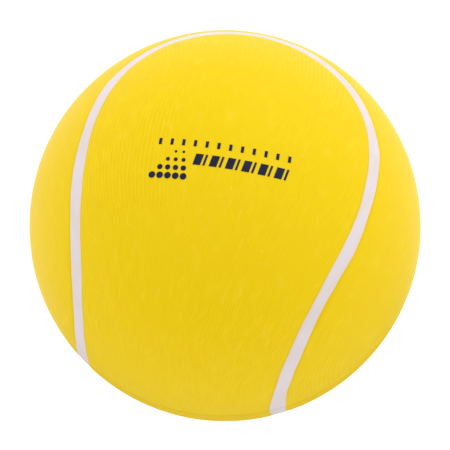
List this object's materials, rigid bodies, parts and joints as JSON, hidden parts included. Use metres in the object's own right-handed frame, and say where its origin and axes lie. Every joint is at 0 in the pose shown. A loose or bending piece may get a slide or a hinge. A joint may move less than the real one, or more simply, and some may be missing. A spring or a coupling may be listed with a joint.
{
  "type": "stress ball",
  "caption": "Round foam hand exerciser in a soft yellow skin, with a winding white line in a shallow groove and a small dark print; it can be squeezed.",
  "frame": {"origin": "centre of the ball, which is the middle of its bounding box", "axes": "+Z along the mould axis, from the centre up through the print; the parting line lies in the plane z = 0; +Y is the way the line's upper turn leans and also, to 6.4 degrees, the print's up; +X completes the frame; the winding line is mirrored in the planes x = 0 and z = 0"},
  "size_m": [0.063, 0.063, 0.0631],
  "materials": {
    "foam": "open-celled flexible foam, matt",
    "skin": "satin coat on a moulded foam skin with fine ripples",
    "line_paint": "hand-painted, satin, slightly uneven edges",
    "ink": "pad-printed ink, satin"
  },
  "bodies": {
    "lower_half": {"foam_core": "foam", "skin_lower": "skin", "line_lower": "line_paint"},
    "upper_half": {"skin_upper": "skin", "line_upper": "line_paint", "print": "ink"}
  },
  "joints": [
    {"name": "squeeze", "type": "slide", "parent": "lower_half", "child": "upper_half", "axis": [0, 0, -1], "range_m": [0, 0.02], "stiffness_N_per_m": 3000, "deforming": ["foam_core", "skin_lower", "line_lower", "skin_upper", "line_upper"]}
  ]
}
